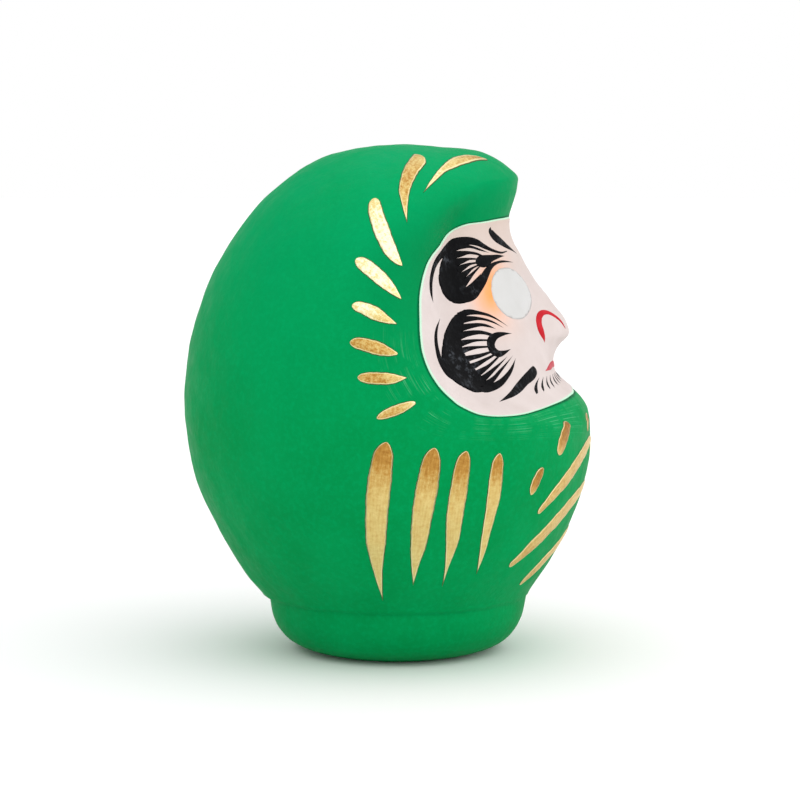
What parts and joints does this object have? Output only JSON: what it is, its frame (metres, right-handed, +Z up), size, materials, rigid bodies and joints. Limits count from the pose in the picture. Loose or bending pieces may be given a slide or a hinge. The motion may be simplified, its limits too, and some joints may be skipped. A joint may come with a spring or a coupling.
{
  "type": "daruma doll",
  "caption": "Egg-shaped papier-mache daruma doll on a weighted foot, recessed face under a rolled hood, gold brush strokes and blank eyes.",
  "frame": {"origin": "middle of the foot's flat underside, at the mouth of the stick hole", "axes": "+Z up; the doll faces -Y, its right side is -X"},
  "size_m": [0.0984, 0.0943, 0.1172],
  "materials": {
    "green_coat": "satin opaque brush paint over moulded paper pulp",
    "green_clay": "the same green paint over dried clay",
    "bare_paper": "uncoated pasted paper",
    "face_white": "matt warm white ground coat",
    "eye_white": "smooth raised white paint",
    "ink_black": "black brush ink, slightly mottled by the pulp",
    "nose_red": "red brush line",
    "mouth_red": "rose red brush line",
    "gold_paint": "metallic gold brush paint"
  },
  "bodies": {
    "root": {"shell_front": "green_coat", "shell_back": "green_coat", "waist_strips": "green_coat", "base_weight": "green_clay", "seam_strip": "bare_paper", "face_coat": "face_white", "eye_right": "eye_white", "eye_left": "eye_white", "brow_right": "ink_black", "brow_left": "ink_black", "brow_tick_right": "ink_black", "brow_tick_left": "ink_black", "cheek_beard_right": "ink_black", "cheek_beard_left": "ink_black", "moustache_right": "ink_black", "moustache_left": "ink_black", "chin_hairs": "ink_black", "nose_line_right": "nose_red", "nose_line_left": "nose_red", "mouth": "mouth_red", "hood_dashes_right": "gold_paint", "hood_dashes_left": "gold_paint", "flank_strokes_right": "gold_paint", "flank_strokes_left": "gold_paint", "belly_sprig": "gold_paint"}
  },
  "joints": []
}
